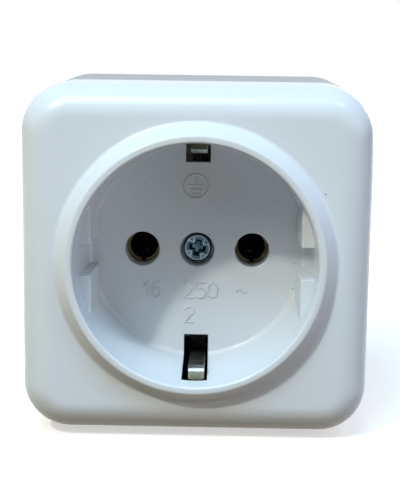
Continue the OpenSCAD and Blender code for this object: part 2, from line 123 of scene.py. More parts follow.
# %% Lamps
def soft_lamp(name, toward, size, power, colour):
    """Square lamp that shines at the well from a direction."""
    bpy.ops.object.light_add(type="AREA")
    lamp = bpy.context.object
    lamp.name = name
    direction = Vector(toward).normalized()
    lamp.location = at(0, 30, 0) + direction * 0.9
    lamp.rotation_euler = direction.to_track_quat("Z", "Y").to_euler()
    lamp.data.size = size
    lamp.data.energy = power
    lamp.data.color = colour
    return lamp

def at(x, height, z):
    """Point at a height off the wall, given in millimetres."""
    return Vector((x, -height, z)) * MM

soft_lamp("key", (-0.41, -0.58, 0.705), 0.05, 3.9, (1.0, 0.99, 0.86))
soft_lamp("key_glow", (-0.41, -0.58, 0.705), 0.45, 1.3, (1.0, 0.99, 0.86))
soft_lamp("top", (-0.15, -0.45, 1.0), 0.35, 5.5, (0.46, 0.76, 1.0))
soft_lamp("top_right", (0.5, -0.45, 1.0), 0.16, 1.5, (0.46, 0.74, 1.0))
soft_lamp("right_front", (0.8, -0.6, 0.1), 0.6, 1.65, (1.0, 0.95, 0.87))
soft_lamp("right", (1.0, -0.25, 0.0), 0.7, 2.3, (0.66, 0.68, 1.0))
soft_lamp("left", (-1.0, -0.25, 0.0), 0.7, 1.4, (1.0, 0.80, 0.35))
soft_lamp("behind", (0.6, 1.0, 0.12), 0.5, 4.5, (1.0, 0.98, 0.95))

# %% [markdown]
# ## Ways to model
# The pieces are made as by hand. A shape starts as a block or as one corner that is extruded along a line,
# and parts of it are then selected by their place. A turned shape is half an outline spun round the
# well's axis. All sizes are in millimetres, and "height" is the distance from the wall.

# %% Points and selections
def let_go():
    """Leaves edit mode with nothing selected."""
    active = bpy.context.view_layer.objects.active
    if active and active.mode != "OBJECT":
        bpy.ops.object.mode_set(mode="OBJECT")
    bpy.ops.object.select_all(action="DESELECT")

def take(piece, mode="OBJECT"):
    """Makes one piece the selected one, and opens it for editing if asked."""
    let_go()
    piece.select_set(True)
    bpy.context.view_layer.objects.active = piece
    bpy.ops.object.mode_set(mode=mode)
    return piece

def settle(piece, name):
    """Puts a piece's place, turn and size into its mesh."""
    take(piece)
    bpy.ops.object.transform_apply(location=True, rotation=True, scale=True)
    piece.name = name
    return piece

def middle_of(part):
    """Middle of a corner, edge or face."""
    if isinstance(part, bmesh.types.BMVert):
        return part.co / MM
    corners = [v.co for v in part.verts]
    return sum(corners, Vector()) / len(corners) / MM

def pick(piece, kind, test):
    """Selects the corners, edges or faces that pass a test, in edit mode."""
    bpy.ops.mesh.select_mode(type=kind)
    bpy.ops.mesh.select_all(action="DESELECT")
    mesh = bmesh.from_edit_mesh(piece.data)
    parts = {"VERT": mesh.verts, "EDGE": mesh.edges, "FACE": mesh.faces}[kind]
    found = [p for p in parts if test(p)]
    for p in found:
        p.select_set(True)
    mesh.select_flush_mode()
    bmesh.update_edit_mesh(piece.data)
    return len(found)

# %% Blocks, lines and turned shapes
def block(name, low, high):
    """Block between two corners, given as (x, height, z) in millimetres."""
    let_go()
    first, last = at(*low), at(*high)
    bpy.ops.mesh.primitive_cube_add(size=1, location=(first + last) / 2)
    piece = bpy.context.object
    piece.scale = [abs(v) for v in last - first]
    return settle(piece, name)

def drawn_line(name, points):
    """Wire through points: one corner that is extruded from each point to the next."""
    let_go()
    bpy.ops.mesh.primitive_plane_add(size=MM, location=points[0])
    piece = bpy.context.object
    piece.name = name
    bpy.ops.object.mode_set(mode="EDIT")
    bpy.ops.mesh.select_mode(type="VERT")
    bpy.ops.mesh.select_all(action="SELECT")
    bpy.ops.mesh.merge(type="CENTER")
    for here, there in zip(points, points[1:]):
        bpy.ops.mesh.extrude_region_move(TRANSFORM_OT_translate={"value": there - here})
    bpy.ops.object.mode_set(mode="OBJECT")
    return settle(piece, name)

def rounded(outline, steps=6):
    """Outline of (x, y, radius) corners, with an arc in place of each corner that has a radius."""
    line = []
    for i, (x, y, radius) in enumerate(outline):
        corner = Vector((x, y))
        if radius == 0:
            line.append(corner)
            continue
        before = (Vector(outline[i - 1][:2]) - corner).normalized()
        after = (Vector(outline[i + 1][:2]) - corner).normalized()
        half = before.angle(after) / 2
        centre = corner + (before + after).normalized() * radius / math.sin(half)
        start = corner + before * radius / math.tan(half) - centre
        end = corner + after * radius / math.tan(half) - centre
        turn = start.angle_signed(end)
        for k in range(steps + 1):
            line.append(centre + Matrix.Rotation(-turn * k / steps, 2) @ start)
    return line

def turned(name, outline, centre=(0, 0), steps=128):
    """Shape spun round an axis that points off the wall. The outline is (radius, height, rounding)."""
    x, z = centre
    line = [at(x + p[0], p[1], z) for p in rounded(outline)]
    piece = take(drawn_line(name, line), "EDIT")
    bpy.ops.mesh.select_all(action="SELECT")
    bpy.ops.mesh.spin(steps=steps, angle=2 * math.pi, center=at(x, 0, z), axis=(0, 1, 0))
    bpy.ops.mesh.select_all(action="SELECT")
    bpy.ops.mesh.remove_doubles(threshold=0.002 * MM)
    bpy.ops.mesh.normals_make_consistent(inside=False)
    let_go()
    return piece

# %% Joining, cutting and finishing
def combine(piece, other, how):
    """Cuts another shape out of a piece (DIFFERENCE), fuses it on (UNION) or keeps what both share."""
    take(piece)
    step = piece.modifiers.new(how, "BOOLEAN")
    step.operation = how
    step.solver = "EXACT"
    step.object = other
    bpy.ops.object.modifier_apply(modifier=step.name)
    bpy.data.objects.remove(other)
    return piece

def soften(piece, width, angle=35, segments=2):
    """Gives the sharp edges a small radius, and smooth shading that leaves flat faces flat."""
    take(piece)
    edge = piece.modifiers.new("edges", "BEVEL")
    edge.width = width * MM
    edge.segments = segments
    edge.limit_method = "ANGLE"
    edge.angle_limit = math.radians(angle)
    edge.harden_normals = False
    bpy.ops.object.modifier_apply(modifier=edge.name)
    return smooth(piece)

def smooth(piece, angle=32):
    """Smooth shading up to an angle, weighted so that flat faces stay flat."""
    take(piece)
    bpy.ops.object.shade_smooth_by_angle(angle=math.radians(angle))
    flat = piece.modifiers.new("flat faces", "WEIGHTED_NORMAL")
    flat.keep_sharp = True
    flat.weight = 80
    bpy.ops.object.modifier_apply(modifier=flat.name)
    return piece

# %% [markdown]
# ## Finishes
# The cover is moulded in a glossy cool white plastic. Its gloss isn't even: mould texture and handling
# leave it a little uneven, so noise moves the roughness and gives a very faint bump. The rear box is the
# same plastic, duller and a darker grey: partly its own greyer tone and partly painted shade, as the whole
# box is darkened to match its top wall, which the lamps only graze. Metals get streaks along one
# direction from stretched noise. Some metal inside gets darker or brighter copies as painted shade and
# painted highlights.

# %% Moulded plastic
def moulded_plastic(name, colour, shade, roughness, grain, bump, gloss=0.5):
    """Moulded plastic: colour drifts slowly towards a second shade, and fine grain moves the gloss."""
    material = bpy.data.materials.new(name)
    material.use_nodes = True
    tree = material.node_tree
    skin = tree.nodes["Principled BSDF"]
    place = tree.nodes.new("ShaderNodeTexCoord")
    drift = tree.nodes.new("ShaderNodeTexNoise")
    fine = tree.nodes.new("ShaderNodeTexNoise")
    tint = tree.nodes.new("ShaderNodeMix")
    dull = tree.nodes.new("ShaderNodeMapRange")
    relief = tree.nodes.new("ShaderNodeBump")
    drift.inputs["Scale"].default_value = 70
    drift.inputs["Detail"].default_value = 3
    fine.inputs["Scale"].default_value = grain
    fine.inputs["Detail"].default_value = 4
    tint.data_type = "RGBA"
    tint.inputs["A"].default_value = (*colour, 1)
    tint.inputs["B"].default_value = (*shade, 1)
    dull.inputs["From Min"].default_value = 0.3
    dull.inputs["From Max"].default_value = 0.7
    dull.inputs["To Min"].default_value = roughness * 0.92
    dull.inputs["To Max"].default_value = roughness * 1.1
    relief.inputs["Strength"].default_value = bump
    relief.inputs["Distance"].default_value = 0.02 * MM
    skin.inputs["Specular IOR Level"].default_value = gloss
    tree.links.new(place.outputs["Object"], drift.inputs["Vector"])
    tree.links.new(place.outputs["Object"], fine.inputs["Vector"])
    tree.links.new(drift.outputs["Fac"], tint.inputs["Factor"])
    tree.links.new(tint.outputs["Result"], skin.inputs["Base Color"])
    tree.links.new(fine.outputs["Fac"], dull.inputs["Value"])
    tree.links.new(dull.outputs[0], skin.inputs["Roughness"])
    tree.links.new(fine.outputs["Fac"], relief.inputs["Height"])
    tree.links.new(relief.outputs[0], skin.inputs["Normal"])
    return material

cover_white = moulded_plastic("cover_white", (0.675, 0.712, 0.76), (0.665, 0.703, 0.752), 0.22, 900, 0.02, 0.36)
# The rear box's darker grey is partly its own greyer plastic and partly painted shade: the whole box is darkened to
# match its grazed top wall.
box_grey_painted_shade = moulded_plastic("box_grey_painted_shade", (0.42, 0.405, 0.41), (0.395, 0.38, 0.385), 0.55, 1200, 0.1, 0.1)
carrier_black = moulded_plastic("carrier_black", (0.014, 0.014, 0.014), (0.024, 0.024, 0.025), 0.6, 1500, 0.4, 0.15)
print("plastics:", cover_white.name, box_grey_painted_shade.name, carrier_black.name)

# %% Worn metal
def worn_metal(name, colour, tarnish, roughness, streak, scratches=0.3):
    """Plated metal: streaks along one direction, with patches of a duller shade."""
    material = bpy.data.materials.new(name)
    material.use_nodes = True
    tree = material.node_tree
    skin = tree.nodes["Principled BSDF"]
    place = tree.nodes.new("ShaderNodeTexCoord")
    stretch = tree.nodes.new("ShaderNodeMapping")
    lines = tree.nodes.new("ShaderNodeTexNoise")
    patches = tree.nodes.new("ShaderNodeTexNoise")
    edge = tree.nodes.new("ShaderNodeMapRange")
    tint = tree.nodes.new("ShaderNodeMix")
    dull = tree.nodes.new("ShaderNodeMapRange")
    relief = tree.nodes.new("ShaderNodeBump")
    stretch.inputs["Scale"].default_value = streak
    lines.inputs["Scale"].default_value = 1500
    lines.inputs["Detail"].default_value = 5
    patches.inputs["Scale"].default_value = 450
    patches.inputs["Detail"].default_value = 4
    edge.inputs["From Min"].default_value = 0.42
    edge.inputs["From Max"].default_value = 0.62
    tint.data_type = "RGBA"
    tint.inputs["A"].default_value = (*colour, 1)
    tint.inputs["B"].default_value = (*tarnish, 1)
    dull.inputs["From Min"].default_value = 0.3
    dull.inputs["From Max"].default_value = 0.7
    dull.inputs["To Min"].default_value = roughness * 0.7
    dull.inputs["To Max"].default_value = roughness * 1.5
    relief.inputs["Strength"].default_value = scratches
    relief.inputs["Distance"].default_value = 0.03 * MM
    skin.inputs["Metallic"].default_value = 1.0
    tree.links.new(place.outputs["Object"], stretch.inputs["Vector"])
    tree.links.new(stretch.outputs["Vector"], lines.inputs["Vector"])
    tree.links.new(place.outputs["Object"], patches.inputs["Vector"])
    tree.links.new(patches.outputs["Fac"], edge.inputs["Value"])
    tree.links.new(edge.outputs[0], tint.inputs["Factor"])
    tree.links.new(tint.outputs["Result"], skin.inputs["Base Color"])
    tree.links.new(lines.outputs["Fac"], dull.inputs["Value"])
    tree.links.new(dull.outputs[0], skin.inputs["Roughness"])
    tree.links.new(lines.outputs["Fac"], relief.inputs["Height"])
    tree.links.new(relief.outputs[0], skin.inputs["Normal"])
    return material

along_x = (0.15, 1, 1)
along_y = (1, 0.15, 1)
spring_nickel = worn_metal("spring_nickel", (0.24, 0.24, 0.235), (0.14, 0.13, 0.11), 0.3, along_x, 0.5)
# Copies of the spring metal that paint light on: a bright one is a painted highlight on the crown, and a very dark one
# is painted shade on the foot and the earth rivets. Tan and brown ones, for the lower and upper tips, carry those
# tints but are darkened as painted shade.
spring_painted_highlight = worn_metal("spring_painted_highlight", (0.42, 0.43, 0.42), (0.24, 0.24, 0.22), 0.24, along_x, 0.8)
tip_tan_painted_shade = worn_metal("tip_tan_painted_shade", (0.12, 0.105, 0.075), (0.07, 0.06, 0.04), 0.36, along_x, 0.8)
tip_brown_painted_shade = worn_metal("tip_brown_painted_shade", (0.055, 0.048, 0.03), (0.04, 0.026, 0.018), 0.36, along_x, 0.8)
spring_painted_shade = worn_metal("spring_painted_shade", (0.05, 0.048, 0.045), (0.03, 0.028, 0.025), 0.6, along_x)
# The brass is made very dark: painted shade for the sleeves deep in the pin holes.
sleeve_brass_painted_shade = worn_metal("sleeve_brass_painted_shade", (0.09, 0.074, 0.038), (0.04, 0.034, 0.022), 0.42, along_y)
zinc_blue = worn_metal("zinc_blue", (0.05, 0.085, 0.115), (0.03, 0.045, 0.06), 0.4, (1, 1, 1))
# A brighter copy of the screw's zinc, for the raised lines on its head: a painted highlight.
zinc_painted_highlight = worn_metal("zinc_painted_highlight", (0.42, 0.50, 0.54), (0.25, 0.30, 0.33), 0.35, (1, 1, 1))
# A dark copy of the clamp steel for the earth strap: painted shade for the strap seen deep through the window.
strap_steel_painted_shade = worn_metal("strap_steel_painted_shade", (0.15, 0.147, 0.14), (0.08, 0.078, 0.072), 0.45, along_x)
clamp_steel = worn_metal("clamp_steel", (0.55, 0.57, 0.58), (0.4, 0.4, 0.4), 0.35, along_x)
print("metals:", spring_nickel.name, sleeve_brass_painted_shade.name, zinc_blue.name, clamp_steel.name)

# %% Dressing a piece
def dress(piece, material, body, finish, *stands_for):
    """Gives a piece its material, the body that carries it and the solids it stands for."""
    piece.data.materials.clear()
    piece.data.materials.append(material)
    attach(piece, body)
    if stands_for:
        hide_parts(*stands_for)
    return piece

# %% [markdown]
# ## Front cover
# The cover is one moulding: a drafted shell with round corners, a flat front plate, and a well that hangs
# from a raised collar. A plain block could be cut with booleans, but the wide soft fillets would then
# meet in creases. So the outer skin is a block with bevelled corners, whose front plate is bridged to a
# spun outline of the collar and the well. The inner skin is made the same way, a wall's thickness
# smaller, and the two are bridged at the skirt's back edge.

# %% Sizes of the cover
box_half = 29.5
corner_r = 8.8
corner_centre = box_half - corner_r
draft = math.tan(math.radians(1.75))
skirt_low = 21.8
front_h = 39.6
rim_h = 42.0
floor_h = 24.5
floor_back = 22.1

# %% Shell of the cover
def corner_shell(name, low, high, inset):
    """Drafted block with four round corners."""
    near, far = corner_r - inset - low * draft, corner_r - inset - high * draft
    half = corner_centre + near
    piece = take(block(name, (-half, low, -half), (half, high, half)), "EDIT")
    pick(piece, "EDGE", lambda e: abs(e.verts[0].co.y - e.verts[1].co.y) > 1 * MM)
    bpy.ops.mesh.bevel(offset=near * MM, segments=14, profile=0.5)
    for x in (-corner_centre, corner_centre):
        for z in (-corner_centre, corner_centre):
            pick(piece, "VERT", lambda v: middle_of(v).y < 0.5 - high and v.co.x * x > 0 and v.co.z * z > 0)
            bpy.ops.transform.resize(value=(far / near, 1, far / near), center_override=at(x, high, z))
    return piece

def bridge(piece, other, rims):
    """Joins two open shapes along two rims in one plane. They are bridged a little apart, then closed up."""
    apart = at(0, 1, 0)
    take(other, "EDIT")
    bpy.ops.mesh.select_all(action="SELECT")
    bpy.ops.transform.translate(value=apart)
    take(piece)
    other.select_set(True)
    own = len(piece.data.vertices)
    bpy.ops.object.join()
    bpy.ops.object.mode_set(mode="EDIT")
    pick(piece, "EDGE", rims)
    bpy.ops.mesh.bridge_edge_loops()
    pick(piece, "VERT", lambda v: v.index >= own)
    bpy.ops.transform.translate(value=-apart)
    let_go()

def cover_skin(name, inset, high, fillet, outline):
    """One side of the cover's wall, open at the back and joined to a spun well."""
    piece = corner_shell(name, skirt_low, high, inset)
    pick(piece, "FACE", lambda f: f.normal.y < -0.9)
    bpy.ops.mesh.bevel(offset=fillet * MM, segments=14, profile=0.5)
    pick(piece, "FACE", lambda f: f.normal.y > 0.9 or (f.normal.y < -0.9 and len(f.verts) > 8))
    bpy.ops.mesh.delete(type="FACE")
    well = turned(name + "_well", outline, steps=192)
    bridge(piece, well, lambda e: e.is_boundary and middle_of(e).y < 2 - high)
    return piece

outer_outline = [
    (23.24, front_h, 0), (22.85, front_h, 0.8), (20.75, rim_h, 0.55), (19.62, rim_h, 0.4),
    (18.8, floor_h, 0.8), (6, floor_h, 0), (0, floor_h, 0),
]
inner_outline = [
    (22.6, 37.4, 0), (21.05, 37.4, 0.5), (20.4, floor_back, 0.4), (6, floor_back, 0), (0, floor_back, 0),
]
cover = cover_skin("cover", 0, front_h, 5.0, outer_outline)
lining = cover_skin("cover_lining", 2.0, 37.4, 4.0, inner_outline)
bridge(cover, lining, lambda e: e.is_boundary)
take(cover, "EDIT")
bpy.ops.mesh.select_all(action="SELECT")
bpy.ops.mesh.normals_make_consistent(inside=False)
let_go()
print("cover skins:", len(cover.data.polygons), "faces")

# %% [markdown]
# ### Guides, bosses, holes and windows
# Four flat-faced guides stand at the sides of the well and keep the plug's flats in line. They are blocks
# with one bevelled edge, trimmed by a round bar so that they end inside the well's wall. The pin holes have
# bosses behind them, and their cutters flare a little at the mouth, which leaves a small round edge.

# %% Guides
def guide(side, end):
    """Side guide: its flat face is towards the middle."""
    x = sorted((side * 17.1, side * 20.6))
    z = sorted((end * 2.6, end * 14.6))
    piece = take(block("guide", (x[0], 23.3, z[0]), (x[1], 37.0, z[1])), "EDIT")
    pick(piece, "EDGE", lambda e: middle_of(e).y < -36.9 and abs(middle_of(e).x) < 17.2)
    bpy.ops.mesh.bevel(offset=0.45 * MM, segments=4, profile=0.5)
    pick(piece, "EDGE", lambda e: abs(middle_of(e).z) < 2.7 and (middle_of(e).y < -36.9 or abs(middle_of(e).x) < 17.2))
    bpy.ops.mesh.bevel(offset=0.2 * MM, segments=3, profile=0.5)
    let_go()
    bar = turned("bar", [(0, 20, 0), (20.2, 20, 0), (20.2, 45, 0), (0, 45, 0)], steps=96)
    return combine(piece, bar, "INTERSECT")

for side in (-1, 1):
    for end in (-1, 1):
        combine(cover, guide(side, end), "UNION")
print("guides fused on:", len(cover.data.polygons), "faces")

# %% Bosses and ribs behind the floor
pin_x = 9.5
for x in (-pin_x, pin_x):
    boss = turned("boss", [(0, 20.9, 0), (4.95, 20.9, 0.3), (4.95, 23.3, 0), (0, 23.3, 0)], (x, 0), 64)
    combine(cover, boss, "UNION")
screw_boss = turned("screw_boss", [(0, 19.6, 0), (3.95, 19.6, 0.3), (3.95, 23.3, 0), (0, 23.3, 0)], steps=64)
combine(cover, screw_boss, "UNION")
for k in range(4):
    rib = block("rib", (20.3, 29.1, -0.6), (corner_centre * math.sqrt(2) + corner_r - 6, 38.2, 0.6))
    rib.rotation_euler.y = math.radians(45 + 90 * k)
    combine(cover, settle(rib, "rib"), "UNION")

# %% Pin holes, screw hole and earth windows
for x in (-pin_x, pin_x):
    bore = turned("bore", [(0, 18, 0), (2.95, 18, 0), (2.95, floor_h - 0.02, 0.25), (5, floor_h + 0.1, 0),
                           (5, 26, 0), (0, 26, 0)], (x, 0), 96)
    combine(cover, bore, "DIFFERENCE")
sink = turned("sink", [(0, 20.8, 0), (2.95, 20.8, 0), (2.95, floor_h - 0.02, 0.2), (5, floor_h + 0.1, 0),
                       (5, 26, 0), (0, 26, 0)], steps=96)
combine(cover, sink, "DIFFERENCE")
combine(cover, turned("shank_hole", [(0, 17, 0), (1.8, 17, 0), (1.8, 22, 0), (0, 22, 0)], steps=48), "DIFFERENCE")
for end in (-1, 1):
    window = block("window", (-2.125, 18, end * 15.1), (2.125, 38.4, end * 22.0))
    combine(cover, window, "DIFFERENCE")
soften(cover, 0.1, angle=40)
dress(cover, cover_white, "cover", "cover_plastic", "front_cover")
print("cover:", len(cover.data.polygons), "faces")

# %% [markdown]
# ## Rear box
# The rear box goes on the wall and carries the contacts. Its outside follows on from the cover's draft. The
# hollow is made as a modeller does by hand: the open face is inset and extruded up for the lip, inset
# again, and extruded down to the back plate.

# %% Rear box
box_h = 21.5
box = corner_shell("rear_box", 0, box_h, 0)

def step_in(piece, inset, rise):
    """Insets the selected open face and moves the new face along the height."""
    bpy.ops.mesh.inset(thickness=inset * MM, depth=0)
    bpy.ops.mesh.extrude_region_move(TRANSFORM_OT_translate={"value": at(0, rise, 0)})

pick(box, "FACE", lambda f: f.normal.y < -0.9)
step_in(box, 2.25, 1.6)
step_in(box, 1.0, -4.1)
bpy.ops.mesh.extrude_region_move(TRANSFORM_OT_translate={"value": at(0, -1.2, 0)})
bpy.ops.transform.resize(value=(1.045, 1, 1.045), center_override=(0, 0, 0))
bpy.ops.mesh.extrude_region_move(TRANSFORM_OT_translate={"value": at(0, -15.3, 0)})
bpy.ops.mesh.select_all(action="SELECT")
bpy.ops.mesh.normals_make_consistent(inside=False)
let_go()
for side in (-1, 1):
    post = turned("post", [(0, 2, 0), (3.6, 2, 0), (3.6, 10.0, 0.2), (0, 10.0, 0)], (side * 12.5, side * -13), 64)
    combine(box, post, "UNION")
    pad = turned("pad", [(0, 2, 0), (4.2, 2, 0), (4.2, 3.5, 0.2), (0, 3.5, 0)], (side * 19.5, side * -19.5), 64)
    combine(box, pad, "UNION")
for side in (-1, 1):
    hole = turned("hole", [(0, -1, 0), (2.2, -1, 0), (2.2, 6, 0), (0, 6, 0)], (side * 19.5, side * -19.5), 64)
    combine(box, hole, "DIFFERENCE")
    bore = turned("bore", [(0, 1.25, 0), (1.55, 1.25, 0), (1.55, 12, 0), (0, 12, 0)], (side * 12.5, side * -13), 48)
    combine(box, bore, "DIFFERENCE")
back_groove = turned("groove", [(7.2, -1, 0), (8.0, -1, 0), (8.0, 1.6, 0), (7.2, 1.6, 0), (7.2, -1, 0)], steps=96)
combine(box, back_groove, "DIFFERENCE")

# %% Entry groove in the top wall
def arch_shape(name, radius, low, depth):
    """Arched block that stands in the top wall: a round bar on its side with a block on it."""
    wall = box_half
    arch = turned(name, [(0, 0, 0), (radius, 0, 0), (radius, depth, 0), (0, depth, 0)], steps=64)
    arch.rotation_euler.x = math.radians(90)
    arch.location = at(0, low, wall + 1 - depth)
    settle(arch, name)
    tall = block(name + "_block", (-radius, low, wall + 1 - depth), (radius, box_h + 3, wall + 1))
    return combine(arch, tall, "UNION")

arch_low = box_h * 0.55
groove = arch_shape("top_groove", 8.0, arch_low, 1.35)
panel = arch_shape("top_panel", 7.2, arch_low, 3.0)
combine(box, combine(groove, panel, "DIFFERENCE"), "DIFFERENCE")

soften(box, 0.25, angle=40, segments=3)
# The box's grey carries painted shade as well as its own tone.
dress(box, box_grey_painted_shade, "housing", "base_plastic", "base")
print("rear box:", len(box.data.polygons), "faces")

# %% [markdown]
# ## Earth springs
# Each earth window shows the end of a bent steel strip that presses on the plug. The strip has one
# thickness all along, so a block would be the wrong start. Its middle line is drawn as seen from the side,
# extruded to the strip's width, cut off at the tip's corners, and given its thickness by Solidify.

# %% Earth springs
spring_x = 0.3
spring_w = 2.7
spring_t = 0.8
spring_line = [(14.6, 17.12, 0), (19.8, 17.12, 1.2), (18.32, 33.6, 0.9), (17.98, 35.75, 0.8),
               (18.6, 36.42, 0), (19.7, 37.6, 0)]

def earth_spring(name, side):
    """Bent strip of one window: side is 1 for the upper one."""
    line = [at(spring_x - spring_w / 2, p[1], side * p[0]) for p in rounded(spring_line)]
    strip = take(drawn_line(name, line), "EDIT")
    bpy.ops.mesh.select_all(action="SELECT")
    bpy.ops.mesh.extrude_region_move(TRANSFORM_OT_translate={"value": at(spring_w, 0, 0)})
    pick(strip, "VERT", lambda v: v.co.y < -37.3 * MM)
    bpy.ops.mesh.bevel(offset=0.45 * MM, segments=3, affect="VERTICES")
    bpy.ops.mesh.select_all(action="SELECT")
    bpy.ops.mesh.normals_make_consistent(inside=False)
    let_go()
    take(strip)
    wall = strip.modifiers.new("thickness", "SOLIDIFY")
    wall.thickness = spring_t * MM
    wall.offset = 0
    wall.use_even_offset = True
    bpy.ops.object.modifier_apply(modifier=wall.name)
    eye = turned("eye", [(0, 15, 0), (1.25, 15, 0), (1.25, 19, 0), (0, 19, 0)], (spring_x, side * 16.5), 48)
    combine(strip, eye, "DIFFERENCE")
    return soften(strip, 0.12, angle=40)

def band(piece, slot, low, high):
    """Gives a band of the strip, between two heights, another material, which paints shade or a highlight on it."""
    take(piece, "EDIT")
    pick(piece, "FACE", lambda f: -high < middle_of(f).y < -low)
    piece.active_material_index = slot
    bpy.ops.object.material_slot_assign()
    let_go()

# Each strip gets painted shade on its foot, a painted highlight on its crown, and a darkened tip as painted shade: tan
# on the lower spring, brown on the upper one.
for name, side, tip_painted_shade in (("upper_earth_spring", 1, tip_brown_painted_shade), ("lower_earth_spring", -1, tip_tan_painted_shade)):
    strip = earth_spring(name.replace("earth_spring", "earth_strip"), side)
    dress(strip, spring_nickel, name.replace("_earth", ""), "plated_steel", name)
    for metal in (spring_painted_shade, spring_painted_highlight, tip_painted_shade):
        strip.data.materials.append(metal)
    band(strip, 1, 0, 18.4)
    band(strip, 2, 35.0, 36.5)
    band(strip, 3, 36.5, 42)
print("earth springs: 2,", len(strip.data.polygons), "faces each")

# %% [markdown]
# ## Cover screw
# The screw in the middle of the well holds the cover. Its head has a cross recess with sloping walls and
# fine raised lines between the wings. The body is a spun outline, the recess is cut by crossed blocks that
# narrow towards the bottom, and the thread is a small triangle wound up by the Screw modifier.

# %% Screw body
head_top = 22.7
head_r = 2.5
shank_low = 11.0
shank_r = 1.5
screw = turned("cover_screw_body", [
    (0, shank_low, 0), (0.7, shank_low, 0), (shank_r - 0.25, shank_low + 0.8, 0), (shank_r - 0.25, 17.2, 0),
    (shank_r, 17.6, 0), (shank_r, 20.8, 0), (head_r, 20.8, 0.1), (head_r, head_top, 0.3), (0, head_top, 0),
], steps=96)

def wing(length, width, depth, narrow, turn):
    """Cutter for one pair of the recess's wings, narrower at the bottom."""
    cutter = take(block("wing", (-length / 2, head_top - depth, -width / 2), (length / 2, head_top + 0.4, width / 2)),
                  "EDIT")
    pick(cutter, "VERT", lambda v: middle_of(v).y > 0.1 - head_top)
    bpy.ops.transform.resize(value=(narrow, 1, narrow), center_override=at(0, head_top - depth, 0))
    let_go()
    cutter.rotation_euler.y = math.radians(turn)
    return settle(cutter, "wing")

for turn in (12, 102):
    combine(screw, wing(3.3, 1.15, 1.2, 0.55, turn), "DIFFERENCE")
for turn in (57, 147):
    combine(screw, wing(2.3, 0.6, 0.7, 0.4, turn), "DIFFERENCE")
print("screw head:", len(screw.data.polygons), "faces")

# %% Screw thread
let_go()
thread = take(drawn_line("thread", [at(r, h, 0) for r, h in
                                    ((shank_r - 0.3, shank_low + 0.8), (shank_r, shank_low + 1.02),
                                     (shank_r, shank_low + 1.08), (shank_r - 0.3, shank_low + 1.3))]))
wind = thread.modifiers.new("wind", "SCREW")
wind.axis = "Y"
wind.angle = 2 * math.pi
wind.screw_offset = -0.7 * MM
wind.iterations = 8
wind.steps = wind.render_steps = 40
wind.use_merge_vertices = False
bpy.ops.object.modifier_apply(modifier=wind.name)
take(thread, "EDIT")
bpy.ops.mesh.select_all(action="SELECT")
bpy.ops.mesh.normals_make_consistent(inside=False)
let_go()
print("thread:", len(thread.data.polygons), "faces")

# %% Raised lines
def raised_line(name, points, width):
    """Round wire along points, half sunk where it lies on a surface."""
    wire = take(drawn_line(name, points))
    bpy.ops.object.convert(target="CURVE")
    wire.data.bevel_depth = width / 2 * MM
    wire.data.bevel_resolution = 2
    wire.data.use_fill_caps = True
    bpy.ops.object.convert(target="MESH")
    return bpy.context.object

def join_all(name, parts):
    """Makes one piece of several."""
    let_go()
    for part in parts:
        part.select_set(True)
    bpy.context.view_layer.objects.active = parts[0]
    bpy.ops.object.join()
    parts[0].name = name
    return smooth(parts[0])

def polar(radius, angle, height):
    """Point round the well's axis."""
    return at(radius * math.cos(math.radians(angle)), height, radius * math.sin(math.radians(angle)))

lines = [raised_line("ring", [polar(2.08, a, head_top) for a in range(0, 361, 8)], 0.2)]
for a in range(33, 360, 90):
    for lean in (-17, 17):
        lines.append(raised_line("line", [polar(1.2, a, head_top), polar(2.05, a + lean, head_top)], 0.2))
smooth(screw)
lines = join_all("screw_lines", lines)
# The raised lines are brighter than the head: a painted highlight.
dress(lines, zinc_painted_highlight, "screw", "plated_steel")
screw = join_all("cover_screw_body", [screw, thread])
dress(screw, zinc_blue, "screw", "plated_steel", "cover_screw")
print("cover screw:", len(screw.data.polygons), "faces")

# %% [markdown]
# ## Raised marks on the well's floor
# The real floor has fine raised marks: the earth symbol, and a row of figures under the pin holes. They
# are drawn as lines on the floor and given a round section, half sunk, as moulded marks look. Only
# figures and the general symbols are made.

# %% Strokes
strokes = {
    "1": [[(0.0, 0.75), (0.55, 1.0), (0.55, 0.0)]],
    "2": [[(0.0, 0.8), (0.2, 0.97), (0.6, 1.0), (0.92, 0.85), (0.92, 0.62), (0.0, 0.0), (1.0, 0.0)]],
    "5": [[(0.95, 1.0), (0.12, 1.0), (0.08, 0.58), (0.5, 0.66), (0.9, 0.5), (1.0, 0.3), (0.82, 0.06), (0.45, 0.0),
           (0.0, 0.08)]],
    "6": [[(0.9, 0.98), (0.5, 0.95), (0.12, 0.6), (0.02, 0.28), (0.25, 0.03), (0.65, 0.0), (0.98, 0.25),
           (0.75, 0.56), (0.4, 0.58), (0.05, 0.3)]],
    "0": [[(0.5, 1.0), (0.12, 0.85), (0.0, 0.5), (0.12, 0.15), (0.5, 0.0), (0.88, 0.15), (1.0, 0.5), (0.88, 0.85),
           (0.5, 1.0)]],
    "wave": [[(0.0, 0.42), (0.22, 0.6), (0.45, 0.52), (0.6, 0.42), (0.8, 0.36), (1.0, 0.55)]],
}
figure_rows = [
    ("1", -9.3, 1.6), ("6", -7.9, 1.7), ("2", -2.2, 1.7), ("5", -0.1, 1.65), ("0", 1.95, 1.7), ("wave", 6.8, 2.1),
]

def figure(kind, x, low, width, height):
    """One figure as raised lines on the floor."""
    return [raised_line("figure", [at(x + u * width, floor_h, low + v * height) for u, v in stroke], 0.42)
            for stroke in strokes[kind]]

marks = []
for kind, x, width in figure_rows:
    marks += figure(kind, x, -8.5, width, 2.75)
marks += figure("2", -2.1, -12.9, 1.7, 2.75)
print("figures:", len(marks))

